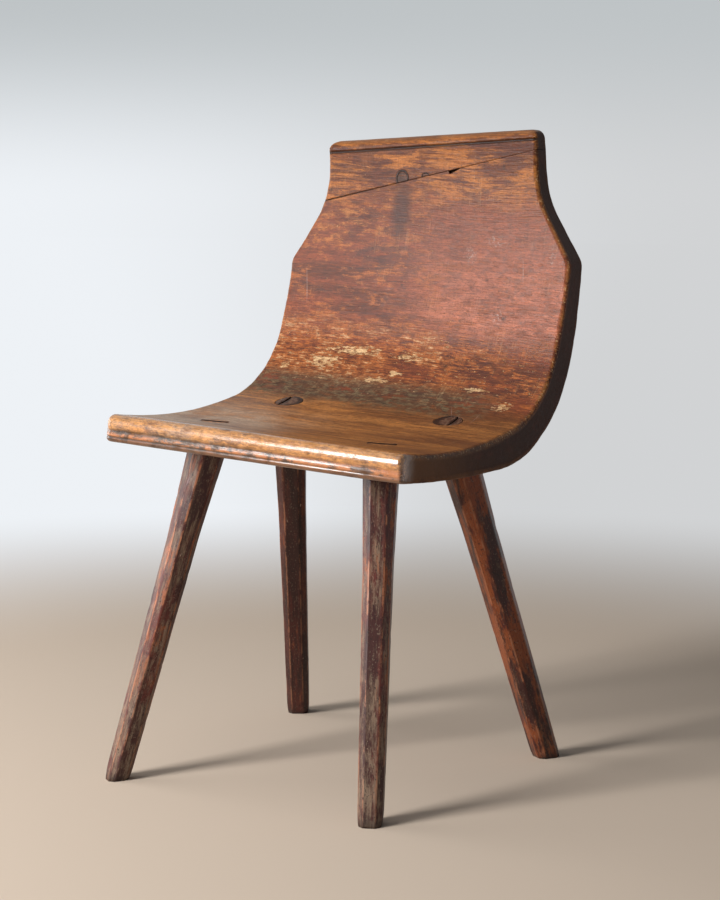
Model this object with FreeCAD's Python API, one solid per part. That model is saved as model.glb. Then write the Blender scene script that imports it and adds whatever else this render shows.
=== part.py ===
"""A country stick-leg chair: one curved board makes the seat and the back,
a second board is jointed on at the crest, and four shaved legs are wedged
through the seat.

Millimetres. +Z is up, -Y is the front, +X is the right side seen from the front.
The chair is drawn with the seat's front edge at y = 0 and its middle at x = 0,
and is moved at the end so that the origin lies on the floor under its middle.
"""

import FreeCAD, Part
import math
import os

from FreeCAD import Placement, Rotation, Vector

# Seat and back board, seen from the side: hollow face
seat_width = 428.0
seat_left_flare = 8.0
seat_front_height = 443.5
seat_hollow_radius = 670.0
bend_centre_depth = 219.0
bend_centre_rise = 143.0
bend_inside_radius = 143.0
back_hollow_radius = 569.0
crest_depth = 389.5
crest_rise = 352.0

# Thickness of the board, and the roundness of its under and rear face
front_edge_thickness = 35.5
bend_thickness = 43.0
crest_thickness = 26.0
seat_under_radius = 1650.0
back_rear_radius = 550.0

# The board lies askew on its legs: rolled to its right side, in degrees
board_roll = 2.6

# Outline of the back, seen from the front
shoulder_below_crest = 163.5
shoulder_rounding = 26.0
neck_sweep_radius = 118.0
neck_slope = 32.0
neck_narrowing = 53.0
crest_slope_rise = 10.0
crest_corner_radius = 12.0

# Arrises and mouldings of the board
nosing_radius = 15.0
arris_radius = 5.5
rear_chamfer = 3.5
edge_groove_radius = 1.7
edge_groove_above_bottom = 14.0
low_groove_radius = 1.2
low_groove_above_bottom = 6.4
crest_groove_radius = 2.2
crest_groove_below_top = 15.0

# Joint between the board and the crest board
joint_below_crest = 52.0
joint_slope = 11.05
dowel_width = 8.4
dowel_length = 44.0
dowel_tip_chamfer = 1.2
dowel_corner_share = 0.29
dowel_hole_clearance = 0.2
dowel_end_room = 0.8
dowel_left_offset = 96.0
dowel_right_offset = 52.0

# Legs
leg_top_width = 44.0
leg_calf_width = 36.0
leg_foot_width = 31.0
leg_calf_share = 0.3
leg_corner_share = 0.23
tenon_radius = 17.7
tenon_clearance = 0.3
front_left_tenon_inset = 87.5
front_right_tenon_inset = 91.0
front_tenon_depth = 98.8
rear_left_tenon_inset = 91.5
rear_right_tenon_inset = 94.0
rear_tenon_behind_bend = 29.5
front_left_splay_out = 68.0
front_left_splay_along = 115.0
front_left_girth_share = 0.88
front_right_splay_out = 46.0
front_right_splay_along = 92.0
front_right_girth_share = 0.93
rear_left_splay_out = 82.5
rear_left_splay_along = 131.0
rear_left_girth_share = 0.92
rear_right_splay_out = 73.0
rear_right_splay_along = 127.0
rear_right_girth_share = 0.98

# Wedges in the tenons. A turn of zero lies straight across the chair, in degrees
wedge_thickness = 3.2
wedge_tip_thickness = 0.8
wedge_length = 26.0
front_left_wedge_turn = 18.0
front_right_wedge_turn = 25.0
rear_wedge_turn = 95.0
rear_left_wedge_offset = -6.0
rear_right_wedge_offset = 7.5

# How far a cutting shape runs past what it cuts
overrun = 12.0

# Faces that meet at more than this angle, in degrees, have an arris between them
sharp_angle = 60.0

half_width = seat_width / 2
crest_width = seat_width - 2 * neck_narrowing
bend_centre_height = seat_front_height + bend_centre_rise
bend_outside_radius = bend_inside_radius + bend_thickness
crest_height = seat_front_height + crest_rise
shoulder_height = crest_height - shoulder_below_crest
joint_height = crest_height - joint_below_crest
rear_tenon_depth = bend_centre_depth + rear_tenon_behind_bend


def towards(start, end, distance):
    """The point at a distance from start in the direction of end."""
    step = end - start
    step.normalize()
    return start + step * distance


def inner_tangent_centre(point, radius, centre, inner_radius, side):
    """Centre of the circle through a point that an inner circle touches from within.

    Everything lies in one plane of constant x. side picks one of the two answers.
    """
    between = centre - point
    distance = between.Length
    reach = radius - inner_radius
    along = (radius ** 2 - reach ** 2 + distance ** 2) / (2 * distance)
    across = math.sqrt(radius ** 2 - along ** 2)
    between.normalize()
    sideways = Vector(0, -between.z, between.y)
    return point + between * along + sideways * across * side


def arc(centre, radius, start, end):
    """The short arc about a centre from start to end."""
    middle = towards(centre, (start + end) / 2, radius)
    return Part.Arc(start, middle, end).toShape()


def side_profile(x):
    """Closed side profile of the board in the plane at x.

    Arcs that touch run from the nosing over the seat and up the front of the back,
    and again down its rear and forwards under the seat.
    """
    bend = Vector(x, bend_centre_depth, bend_centre_height)
    front = Vector(x, 0, seat_front_height)
    bottom = front - Vector(0, 0, front_edge_thickness)
    crest = Vector(x, crest_depth, crest_height)
    crest_behind = crest + Vector(0, crest_thickness, 0)
    seat = inner_tangent_centre(front, seat_hollow_radius, bend, bend_inside_radius, 1)
    back = inner_tangent_centre(crest, back_hollow_radius, bend, bend_inside_radius, -1)
    under = inner_tangent_centre(bottom, seat_under_radius, bend, bend_outside_radius, 1)
    rear = inner_tangent_centre(crest_behind, back_rear_radius, bend, bend_outside_radius, -1)

    drop = math.sqrt((seat_hollow_radius + nosing_radius) ** 2 - (nosing_radius - seat.y) ** 2)
    nosing = Vector(x, nosing_radius, seat.z - drop)
    nosing_front = Vector(x, 0, nosing.z)
    nosing_top = towards(nosing, seat, nosing_radius)
    seat_end = towards(seat, bend, seat_hollow_radius)
    bend_end = towards(back, bend, back_hollow_radius)
    rear_end = towards(rear, bend, back_rear_radius)
    under_end = towards(under, bend, seat_under_radius)

    top = crest_height + crest_slope_rise + overrun
    crest_front = Vector(x, back.y + math.sqrt(back_hollow_radius ** 2 - (top - back.z) ** 2), top)
    crest_rear = Vector(x, rear.y + math.sqrt(back_rear_radius ** 2 - (top - rear.z) ** 2), top)

    # the nosing centre lies below the hollow arc, so its arc bulges up and forwards
    bulge = Vector(0, -1, 1).normalize() * nosing_radius
    return Part.Wire([
        Part.Arc(nosing_front, nosing + bulge, nosing_top).toShape(),
        arc(seat, seat_hollow_radius, nosing_top, seat_end),
        arc(bend, bend_inside_radius, seat_end, bend_end),
        arc(back, back_hollow_radius, bend_end, crest_front),
        Part.makeLine(crest_front, crest_rear),
        arc(rear, back_rear_radius, crest_rear, rear_end),
        arc(bend, bend_outside_radius, rear_end, under_end),
        arc(under, seat_under_radius, under_end, bottom),
        Part.makeLine(bottom, nosing_front),
    ])


def rolled(shape):
    """The shape rolled as the board is, about the middle of its front edge."""
    shape.rotate(Vector(0, 0, seat_front_height), Vector(0, 1, 0), board_roll)
    return shape


def curved_slab():
    """The curved board before its outline is cut, wider than the chair."""
    reach = half_width + seat_left_flare + overrun
    return rolled(Part.Face(side_profile(-reach)).extrude(Vector(2 * reach, 0, 0)))


def inside(shape, start, end):
    """First and last point of the stretch of a line that lies inside a shape."""
    stretch = Part.makeLine(start, end).common(shape)
    points = [vertex.Point for vertex in stretch.Vertexes]
    points.sort(key=lambda point: (point - start).Length)
    return points[0], points[-1]


def seat_top(slab, x, y):
    """The point of the hollowed seat above x and y."""
    return inside(slab, Vector(x, y, crest_height), Vector(x, y, 0))[0]


def back_faces(slab, x, z):
    """The points of the back's front and rear face at x and a height."""
    start = Vector(x, bend_centre_depth, z)
    return inside(slab, start, start + Vector(0, crest_depth, 0))


def rounded(corners, radii):
    """A closed wire through corners in the plane y = 0, each with its own rounding."""
    edges = []
    count = len(corners)
    starts = []
    ends = []
    for index, corner in enumerate(corners):
        before = corners[index - 1]
        after = corners[(index + 1) % count]
        opening = (before - corner).getAngle(after - corner)
        setback = radii[index] / math.tan(opening / 2)
        starts.append(towards(corner, before, setback))
        ends.append(towards(corner, after, setback))
    for index, corner in enumerate(corners):
        if radii[index] > 0:
            start = starts[index]
            end = ends[index]
            inward = (start + end) / 2 - corner
            opening = (start - corner).getAngle(end - corner)
            inward.normalize()
            centre = corner + inward * (radii[index] / math.sin(opening / 2))
            edges.append(arc(centre, radii[index], start, end))
        edges.append(Part.makeLine(ends[index], starts[(index + 1) % count]))
    return Part.Wire(edges)


def back_outline():
    """The back seen from the front, as a solid block along y."""
    half_crest = crest_width / 2
    slope = math.tan(math.radians(neck_slope))
    shoulder_run = half_width - half_crest
    neck_corner_height = shoulder_height + shoulder_run / slope
    top_rise = crest_slope_rise / 2
    right = [
        Vector(half_width, 0, -overrun),
        Vector(half_width, 0, shoulder_height),
        Vector(half_crest, 0, neck_corner_height),
        Vector(half_crest, 0, crest_height + top_rise),
    ]
    left = [Vector(-corner.x, 0, corner.z) for corner in reversed(right)]
    left[0].z = crest_height - top_rise
    radii = [0, shoulder_rounding, neck_sweep_radius, crest_corner_radius]
    face = Part.Face(rounded(right + left, radii + radii[::-1]))
    face.translate(Vector(0, bend_centre_depth, 0))
    return face.extrude(Vector(0, crest_depth, 0))


def seat_plan():
    """The seat seen from above, as a solid block along z: its left side flares."""
    flare_radius = (bend_centre_depth ** 2 + seat_left_flare ** 2) / (2 * seat_left_flare)
    centre = Vector(-half_width - flare_radius, bend_centre_depth, 0)
    flare = []
    for y in (-overrun, bend_centre_depth / 2, bend_centre_depth):
        reach = math.sqrt(flare_radius ** 2 - (bend_centre_depth - y) ** 2)
        flare.append(Vector(centre.x + reach, y, 0))
    right_rear = Vector(half_width, bend_centre_depth, 0)
    right_front = Vector(half_width, -overrun, 0)
    wire = Part.Wire([
        Part.Arc(*flare).toShape(),
        Part.makeLine(flare[-1], right_rear),
        Part.makeLine(right_rear, right_front),
        Part.makeLine(right_front, flare[0]),
    ])
    return Part.Face(wire).extrude(Vector(0, 0, crest_height))


def arrises(shape, behind):
    """Sharp edges of the board, either those underneath and behind or all the others."""
    found = []
    steep = math.cos(math.pi / 4)
    for edge in shape.Edges:
        faces = shape.ancestorsOfType(edge, Part.Face)
        if len(faces) != 2:
            continue
        middle = edge.valueAt((edge.FirstParameter + edge.LastParameter) / 2)
        normals = [face.normalAt(*face.Surface.parameter(middle)) for face in faces]
        if normals[0].getAngle(normals[1]) < math.radians(sharp_angle):
            continue
        # underneath a normal points down, and behind it points back
        turned_away = min(normal.z - normal.y for normal in normals) < -steep
        at_front = min(normal.y for normal in normals) < -steep
        if (turned_away and not at_front) == behind:
            found.append(edge)
    return found


def rod(start, end, radius):
    """A round rod between two points."""
    return Part.makeCylinder(radius, (end - start).Length, start, end - start)


def edge_grooves():
    """The rods that cut the two quirks along the front edge, with a bead between them."""
    reach = half_width + seat_left_flare + overrun
    bottom = seat_front_height - front_edge_thickness
    rods = []
    for above_bottom, radius in ((edge_groove_above_bottom, edge_groove_radius),
                                 (low_groove_above_bottom, low_groove_radius)):
        height = bottom + above_bottom
        rods.append(rolled(rod(Vector(-reach, 0, height), Vector(reach, 0, height), radius)))
    return rods


def crest_groove_ends(slab):
    """Two points of the groove across the front face, which runs along the crest."""
    ends = []
    for x in (-half_width, half_width):
        top = crest_height + crest_slope_rise * x / crest_width
        ends.append(back_faces(slab, x, top - crest_groove_below_top)[0])
    return ends


def crest_groove(slab):
    """The rod that cuts the groove across the front face under the crest."""
    start, end = crest_groove_ends(slab)
    return rod(start, end, crest_groove_radius)


def crest_bead_waste(slab):
    """What is planed off to round the strip between the crest's groove and its top."""
    radius = crest_groove_below_top
    start, end = [point + Vector(0, radius, 0) for point in crest_groove_ends(slab)]
    forwards = Vector(0, -radius - overrun, 0)
    upwards = forwards.cross(end - start).normalize() * forwards.Length
    corners = [start, start + forwards, start + forwards + upwards, start + upwards]
    bar = Part.Face(Part.makePolygon(corners + corners[:1])).extrude(end - start)
    return bar.cut(rod(start, end, radius))


def whole_board(slab):
    """The board with its arrises eased and its mouldings, before any joint is cut.

    The arrises of the seat and of the back's front are worn round. Those underneath
    and behind keep the chamfer that was cut on them.
    """
    blank = slab.common(back_outline().fuse(seat_plan()).removeSplitter()).Solids[0]
    chamfered = blank.makeChamfer(rear_chamfer, arrises(blank, True))
    eased = chamfered.makeFillet(arris_radius, arrises(chamfered, False))
    return eased.cut(edge_grooves() + [crest_bead_waste(slab), crest_groove(slab)]).Solids[0]


def joint_frame(slab, offset):
    """Placement on the crest joint, offset along it, with z square to the joint."""
    turn = Rotation(Vector(0, 1, 0), -joint_slope)
    start = Vector(0, 0, joint_height) + turn.multVec(Vector(offset, 0, 0))
    front, rear = back_faces(slab, start.x, start.z)
    return Placement((front + rear) / 2, turn)


def above_joint(slab):
    """A block that fills all the space above the crest joint."""
    side = seat_width + crest_height
    block = Part.makeBox(side, side, side, Vector(-side / 2, -side / 2, 0))
    block.Placement = joint_frame(slab, 0)
    return block


def joint_dowel(slab, offset):
    """One whittled dowel across the crest joint, and the longer, wider hole for it."""
    half = dowel_length / 2
    section = octagon(Vector(0, 0, -half), Vector(1, 0, 0), Vector(0, 1, 0),
                      dowel_width, dowel_corner_share)
    dowel = Part.Face(section).extrude(Vector(0, 0, dowel_length))
    end_edges = [edge for edge in dowel.Edges if edge.BoundBox.ZLength < dowel_tip_chamfer]
    dowel = dowel.makeChamfer(dowel_tip_chamfer, end_edges)
    flat = dowel_width * (1 / 2 - dowel_corner_share)
    wide = math.hypot(dowel_width / 2, flat) + dowel_hole_clearance
    deep = half + dowel_end_room
    hole = Part.makeCylinder(wide, 2 * deep, Vector(0, 0, -deep))
    for shape in (dowel, hole):
        shape.Placement = joint_frame(slab, offset)
    return dowel, hole


def octagon(centre, u, v, width, corner_share):
    """An eight-sided section along u and v: a square with its corners taken off."""
    half = width / 2
    flat = half - width * corner_share
    corners = [(half, -flat), (half, flat), (flat, half), (-flat, half),
               (-half, flat), (-half, -flat), (-flat, -half), (flat, -half)]
    points = [centre + u * a + v * b for a, b in corners]
    return Part.makePolygon(points + points[:1])


def leg_parts(slab, board, tenon_x, tenon_y, foot_x, foot_y, girth_share, turn, offset):
    """A leg with its tenon, the wedge in it, and the mortise for the tenon."""
    head = seat_top(slab, tenon_x, tenon_y)
    foot = Vector(foot_x, foot_y, 0)
    along = (head - foot).normalize()
    length = (head - foot).Length
    outward = Vector(foot_x - tenon_x, foot_y - tenon_y, 0)
    outward = (outward - along * outward.dot(along)).normalize()
    shoulder = length - front_edge_thickness / 2
    stations = [
        (-overrun, leg_foot_width),
        (shoulder * (1 - leg_calf_share), leg_calf_width),
        (shoulder, leg_top_width),
    ]
    sections = [octagon(foot + along * reach, outward, along.cross(outward),
                        width * girth_share, leg_corner_share) for reach, width in stations]
    shaft = Part.makeLoft(sections, True, False)
    floor = Part.makeBox(length, length, length, foot - Vector(length / 2, length / 2, length))
    shaft = shaft.cut(floor).cut(board)
    shaft = max(shaft.Solids, key=lambda solid: solid.Volume)

    below = foot + along * (length - 2 * bend_thickness)
    above = head + along * overrun
    tenon = rod(below, above, tenon_radius).common(board)
    mortise = rod(below, above, tenon_radius + tenon_clearance)

    driven = wedge_block(head, along, turn, offset)
    wedge = driven.common(tenon)
    leg = shaft.fuse(tenon).removeSplitter().cut(driven)
    return leg.Solids[0], wedge.Solids[0], mortise


def wedge_block(head, along, turn, offset):
    """A tapered block that enters a tenon's end, its line turned and set off its middle."""
    line = Rotation(Vector(0, 0, 1), turn).multVec(Vector(1, 0, 0))
    line = (line - along * line.dot(along)).normalize()
    across = line.cross(along)
    wide = line * tenon_radius * 2
    grow = (wedge_thickness - wedge_tip_thickness) / wedge_length
    middle = head + across * offset
    tip = middle - along * wedge_length
    top = middle + along * overrun
    tip_half = across * (wedge_tip_thickness / 2)
    top_half = across * ((wedge_thickness + grow * overrun) / 2)
    corners = [tip - tip_half, tip + tip_half, top + top_half, top - top_half]
    outline = Part.makePolygon(corners + corners[:1])
    outline.translate(wide * -0.5)
    return Part.Face(outline).extrude(wide)


def leg_places():
    """Name, tenon place, foot place and girth of the four legs, and how each is wedged."""
    front = front_tenon_depth
    rear = rear_tenon_depth
    front_left = front_left_tenon_inset - half_width
    front_right = half_width - front_right_tenon_inset
    rear_left = rear_left_tenon_inset - half_width
    rear_right = half_width - rear_right_tenon_inset
    return [
        ("front_left", front_left, front,
         front_left - front_left_splay_out, front - front_left_splay_along,
         front_left_girth_share, front_left_wedge_turn, 0),
        ("front_right", front_right, front,
         front_right + front_right_splay_out, front - front_right_splay_along,
         front_right_girth_share, front_right_wedge_turn, 0),
        ("rear_left", rear_left, rear,
         rear_left - rear_left_splay_out, rear + rear_left_splay_along,
         rear_left_girth_share, rear_wedge_turn, rear_left_wedge_offset),
        ("rear_right", rear_right, rear,
         rear_right + rear_right_splay_out, rear + rear_right_splay_along,
         rear_right_girth_share, rear_wedge_turn, rear_right_wedge_offset),
    ]


def chair():
    """Every piece of the chair by name, about the drawing's own origin."""
    pieces = {}
    slab = curved_slab()
    board = whole_board(slab)
    mortises = []
    for name, *place in leg_places():
        leg, wedge, mortise = leg_parts(slab, board, *place)
        pieces[name + "_leg"] = leg
        pieces[name + "_wedge"] = wedge
        mortises.append(mortise)

    holes = []
    for side, offset in (("left", -dowel_left_offset), ("right", dowel_right_offset)):
        dowel, hole = joint_dowel(slab, offset)
        pieces["crest_dowel_" + side] = dowel
        holes.append(hole)

    upper_space = above_joint(slab)
    lower = board.cut([upper_space] + mortises + holes)
    upper = board.common(upper_space).cut(holes)
    pieces["seat_and_back_board"] = max(lower.Solids, key=lambda solid: solid.Volume)
    pieces["crest_board"] = max(upper.Solids, key=lambda solid: solid.Volume)
    return pieces


def main():
    """Write each piece to its own file, with the origin under the chair's middle."""
    pieces = chair()
    box = Part.makeCompound(list(pieces.values())).optimalBoundingBox(False, False)
    shift = Vector(-box.Center.x, -box.Center.y, -box.ZMin)
    os.makedirs("parts", exist_ok=True)
    print("origin moved by", shift)
    for name, shape in pieces.items():
        shape.translate(shift)
        print(name, "valid", shape.isValid(), "cubic mm", round(shape.Volume))
        shape.exportStep("parts/" + name + ".step")


main()
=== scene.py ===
import math

import bpy
import numpy as np
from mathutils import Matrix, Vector, noise


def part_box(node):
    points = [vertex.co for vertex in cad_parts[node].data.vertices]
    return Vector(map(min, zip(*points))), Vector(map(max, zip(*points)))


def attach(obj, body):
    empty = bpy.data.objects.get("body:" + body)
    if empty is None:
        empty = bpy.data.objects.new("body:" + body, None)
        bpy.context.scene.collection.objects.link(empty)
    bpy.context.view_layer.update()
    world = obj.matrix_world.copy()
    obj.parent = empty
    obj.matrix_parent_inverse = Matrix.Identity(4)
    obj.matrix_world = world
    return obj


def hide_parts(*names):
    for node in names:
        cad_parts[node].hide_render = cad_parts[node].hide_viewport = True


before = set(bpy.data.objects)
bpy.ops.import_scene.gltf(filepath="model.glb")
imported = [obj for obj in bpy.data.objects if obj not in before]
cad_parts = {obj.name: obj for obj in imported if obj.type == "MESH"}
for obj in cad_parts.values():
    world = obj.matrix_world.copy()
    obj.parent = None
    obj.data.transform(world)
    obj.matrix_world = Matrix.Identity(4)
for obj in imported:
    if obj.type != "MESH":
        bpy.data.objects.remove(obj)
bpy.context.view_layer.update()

# The looks of a country stick-leg chair: a curved seat and back board, a crest board
# jointed to it, and four wedged legs. Metres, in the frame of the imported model.
# "Board frame" means: seat front at y = 0, middle at x = 0, floor at z = 0, before the
# board is rolled to its right side. "Drawing" means the same frame after that roll.

MM = 0.001

# Side profile of the board, as (y, z) in the board frame
seat_front = np.array((0, 443.5)) * MM
seat_bottom = np.array((0, 408.0)) * MM
bend_centre = np.array((219.0, 586.5)) * MM
crest_front = np.array((389.5, 795.5)) * MM
crest_rear = np.array((415.5, 795.5)) * MM
seat_hollow_radius = 670 * MM
bend_inside_radius = 143 * MM
bend_outside_radius = 186 * MM
back_hollow_radius = 569 * MM
seat_under_radius = 1650 * MM
back_rear_radius = 550 * MM
bend_seat_share = 0.9
board_roll = math.radians(2.6)

# Outline of the board
half_width = 214 * MM
seat_left_flare = 8 * MM
shoulder_height = 632 * MM
shoulder_rounding = 26 * MM
neck_sweep_radius = 118 * MM
neck_slope = math.radians(32)
half_crest = 161 * MM
crest_slope = 10 / 322
crest_corner_radius = 12 * MM

# Arrises, the joint's at its left and right end
nosing_radius = 15 * MM
arris_radius = 5.5 * MM
crest_arris_radius = 15 * MM
crest_arris_blend = 16 * MM
rear_arris_radius = 4.5 * MM
joint_arris_radii = (0.55 * MM, 0.15 * MM)
worn_corner = np.array((-222, 0, 430)) * MM
worn_corner_radius = 6 * MM
worn_corner_reach = 26 * MM

# Quirks under the nosing: height above the board's bottom, radius, and how wide and
# how thick the dirt in them is
quirks = (
    (14 * MM, 2.0 * MM, 1.9 * MM, 1.0),
    (6.2 * MM, 1.2 * MM, 1.3 * MM, 0.8),
)
moulding_shares = (1.0, 0.85, 0.15)
facing_front = -0.4
crest_groove_radius = 2.2 * MM
crest_groove_height = 781.4 * MM
crest_groove_slope = 0.040

# Crest joint, across the whole board
joint_height = 743.5 * MM
joint_slope = math.tan(math.radians(11.05))
joint_gap = 0.14 * MM

# Splinter lost from the board's edge at the crest joint
chip_left = 30.5 * MM
chip_right = 50.5 * MM
chip_drop = 4.6 * MM
chip_depth = 5 * MM
chip_outline_shares = ((0, 0.08, 0.35, 1), (0, 1, 0.8, 0))

# Unevenness, as waves: height, size and seed
arris_waves = ((1.3 * MM, 34 * MM, 3), (1.1 * MM, 10 * MM, 5))
board_waves = ((0.22 * MM, 60 * MM, 11), (0.08 * MM, 14 * MM, 12))
moulding_waves = ((0.25, 40 * MM, 21),)
leg_waves = ((0.35 * MM, 60 * MM, 0), (0.10 * MM, 14 * MM, 9))
nick_waves = ((1, 14 * MM, 20),)
tenon_waves = ((0.3 * MM, 6 * MM, 0),)

# Legs: tenon place, and how far the foot stands off it across and along the chair
leg_top_width = 44 * MM
leg_calf_width = 36 * MM
leg_foot_width = 31 * MM
leg_calf_share = 0.3
leg_corner_share = 0.23
leg_easing_share = 0.04
leg_face_shares = (0.04, 0.10, 0.3, 0.5, 0.7, 0.90, 0.96)
leg_seeds = 50
arris_width_share = 0.055
leg_nick_depth = 1.6 * MM
leg_nick_level = 0.25
sole_wear = 1.5 * MM
sole_wear_reach = 6 * MM
tenon_radius = 17.7 * MM
tenon_sink = 0.15 * MM
tenon_rings = 5
tenon_cap_shares = (0.97, 0.88, 0.76, 0.62, 0.46, 0.3, 0.12)
front_tenon_depth = 98.8 * MM
rear_tenon_depth = 248.5 * MM
legs = {
    "front_left": (-126.5 * MM, front_tenon_depth, -68 * MM, -115 * MM),
    "front_right": (123 * MM, front_tenon_depth, 46 * MM, -92 * MM),
    "rear_left": (-122.5 * MM, rear_tenon_depth, -82.5 * MM, 131 * MM),
    "rear_right": (120 * MM, rear_tenon_depth, 73 * MM, 127 * MM),
}

# Girth of each leg at its foot, calf and top
girth_shares = {
    "front_left": (0.89, 0.94, 0.99),
    "front_right": (0.93, 0.96, 0.95),
    "rear_left": (0.95, 0.99, 0.99),
    "rear_right": (1.00, 1.03, 1.02),
}

# How much of each leg is rubbed to warm wood, and how much painted shade darkens it, most on the rear legs
leg_warmth = {"front_left": 0.1, "front_right": 0.15, "rear_left": 0.0, "rear_right": 0.85}
leg_shade = {"front_left": 0.0, "front_right": 0.05, "rear_left": 0.5, "rear_right": 0.3}

# Mortises, with a gap beside the shrunken rear tenons
mortise_radius = 18.0 * MM
mortise_sides = 48
front_mortise_gap = 0.1 * MM
rear_mortise_gap = 1.3 * MM
mortise_reaches = np.array((-90, -20, 20)) * MM

# Wedges: turn from straight across the chair, how far off the tenon's middle, and how
# far the top has sunk below the seat; the front ones stand a little above it
wedge_thickness = 3.2 * MM
wedge_tip_thickness = 0.8 * MM
wedge_length = 26 * MM
wedge_inset = 0.1 * MM
wedge_slot_room = 0.12 * MM
wedge_slot_overrun = 1.5 * MM
wedge_slot_above = 12 * MM
wedge_points = (9, 15, 5)
wedges = {
    "front_left": (math.radians(18), 0, -0.8 * MM),
    "front_right": (math.radians(25), 0, -0.8 * MM),
    "rear_left": (math.radians(95), -6 * MM, 3.5 * MM),
    "rear_right": (math.radians(95), 7.5 * MM, 2.5 * MM),
}

# Mesh spacing, and how a surface is found: small steps, rounds and the least steepness
board_step = 2.6 * MM
fine_step = 0.9 * MM
edge_zone = 7 * MM
board_depth = 40 * MM
leg_step = 4 * MM
lean_probe = 1 * MM
settle_probe = 0.02 * MM
settle_rounds = 6
least_steepness = 0.3
level_rounds = 4
row_rounds = 5
halvings = 30
normal_probe = 0.05 * MM
hit_gap = 0.001 * MM
above_seat = 500 * MM
seat_probe = 20 * MM
under_search = (-5 * MM, 60 * MM)
surface_search = (5 * MM, 45 * MM)
wedge_top_search = (0, 45 * MM)

# Stretches of rows across the board: number, about how long, and whether the rows lie
# closer at the start and the end. They are 0 seat, 1 bend, 2 back up to the joint,
# 3 joint to groove and 4 groove to top
lower_stretches = ((0, 210 * MM, True, False), (1, 160 * MM, False, False), (2, 170 * MM, False, True))
upper_stretches = ((3, 38 * MM, True, True), (4, 16 * MM, True, True))

# Where the materials change over: start and width of the soft edge of each zone
side_face_edge = (2.5 * MM, 5 * MM)
side_face_front_share = 0.4
top_face_edge = (1.5 * MM, 4 * MM)
rear_face_edge = (-9 * MM, 6 * MM)
tenon_edge = (10 * MM, 4 * MM)
leg_arris_end = 12 * MM
face_zone = 6 * MM
nose_zone = 4 * MM
rim_inset = 1.0 * MM
rim_width = 2.2 * MM
groove_dirt_width = 2.0 * MM
seam_dirt_width = 1.1 * MM
seam_dirt_shares = (1, 0.35, 0.12)
chip_dirt_drop = 2 * MM
chip_dirt_half = 3 * MM
chip_dirt_depth = 0.7 * MM
leg_grain_shift = 100 * MM

# Where the drawing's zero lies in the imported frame
low_corner, high_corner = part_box("seat_and_back_board")
shift = np.array((high_corner.x - half_width, low_corner.y, 0))


def tangent_centre(point, radius, bend_radius, side):
    """Centre of the circle through a point that the bend's circle touches from within."""
    between = bend_centre - point
    distance = np.hypot(*between)
    reach = radius - bend_radius
    along = (radius ** 2 - reach ** 2 + distance ** 2) / (2 * distance)
    across = math.sqrt(radius ** 2 - along ** 2)
    unit = between / distance
    return point + unit * along + np.array((-unit[1], unit[0])) * across * side


def direction(start, end):
    """Angle of the line from start to end, in the y-z plane."""
    step = end - start
    return math.atan2(step[1], step[0])


def on_circle(centre, radius, angle):
    """The point (y, z) on a circle at an angle."""
    return centre[0] + radius * np.cos(angle), centre[1] + radius * np.sin(angle)


class Face:
    """The board's hollow or outer face from the side: arcs of the seat, bend and back."""

    def __init__(self, front, low_radius, bend_radius, high_radius, crest):
        low = tangent_centre(front, low_radius, bend_radius, 1)
        high = tangent_centre(crest, high_radius, bend_radius, -1)
        self.arcs = ((low, low_radius), (bend_centre, bend_radius), (high, high_radius))
        self.angles = (direction(low, front), direction(low, bend_centre), direction(high, bend_centre))

    def distance(self, y, z):
        """Distance outwards from the arcs."""
        from_low, from_bend, from_high = (np.hypot(y - centre[0], z - centre[1]) - radius
                                          for centre, radius in self.arcs)
        (low, _), (_, bend_radius), (high, _) = self.arcs
        low_way = bend_centre - low
        high_way = bend_centre - high
        before = (y - bend_centre[0]) * -low_way[1] + (z - bend_centre[1]) * low_way[0] < 0
        after = (y - bend_centre[0]) * -high_way[1] + (z - bend_centre[1]) * high_way[0] > 0
        low_part = before & (y < bend_centre[0] + bend_radius * bend_seat_share)
        return np.where(low_part, from_low, np.where(after, from_high, from_bend))

    def run(self, y, z):
        """Length along the arcs from the seat's front to a point."""
        at_low, at_bend, at_high = (np.arctan2(z - centre[1], y - centre[0]) for centre, _ in self.arcs)
        low_radius, bend_radius, high_radius = (radius for _, radius in self.arcs)
        front, low_end, high_start = self.angles
        seat_run = low_radius * (low_end - front)
        bend_run = bend_radius * (high_start - low_end)
        return np.where(
            at_bend < low_end,
            np.minimum(low_radius * (at_low - front), seat_run),
            np.where(at_bend < high_start, seat_run + bend_radius * (at_bend - low_end),
                     seat_run + bend_run + high_radius * (at_high - high_start)),
        )

    def row(self, stretch, share, x):
        """The points (y, z) of one row across the board, at a share of a stretch."""
        if stretch < 2:
            start, end = self.angles[stretch:stretch + 2]
            return on_circle(*self.arcs[stretch], start + (end - start) * share + 0 * x)
        high, high_radius = self.arcs[2]
        lines = [on_circle(high, high_radius, self.angles[2])[1] + 0 * x]
        for line in (joint_line, groove_line, top_line):
            level = joint_height + 0 * x
            for _ in range(level_rounds):
                px = rolled(x, level)[0]
                level = unrolled(px, line(px))[1]
            lines.append(level)
        z = lines[stretch - 2] + (lines[stretch - 1] - lines[stretch - 2]) * share
        return high[0] + np.sqrt(high_radius ** 2 - (z - high[1]) ** 2), z


hollow_face = Face(seat_front, seat_hollow_radius, bend_inside_radius, back_hollow_radius, crest_front)
outer_face = Face(seat_bottom, seat_under_radius, bend_outside_radius, back_rear_radius, crest_rear)


def turned(x, z, angle):
    """A point turned about the middle of the seat's front edge."""
    dz = z - seat_front[1]
    return (x * math.cos(angle) + dz * math.sin(angle),
            seat_front[1] - x * math.sin(angle) + dz * math.cos(angle))


def rolled(x, z):
    """Board frame to drawing."""
    return turned(x, z, board_roll)


def unrolled(x, z):
    """Drawing to board frame."""
    return turned(x, z, -board_roll)


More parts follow.
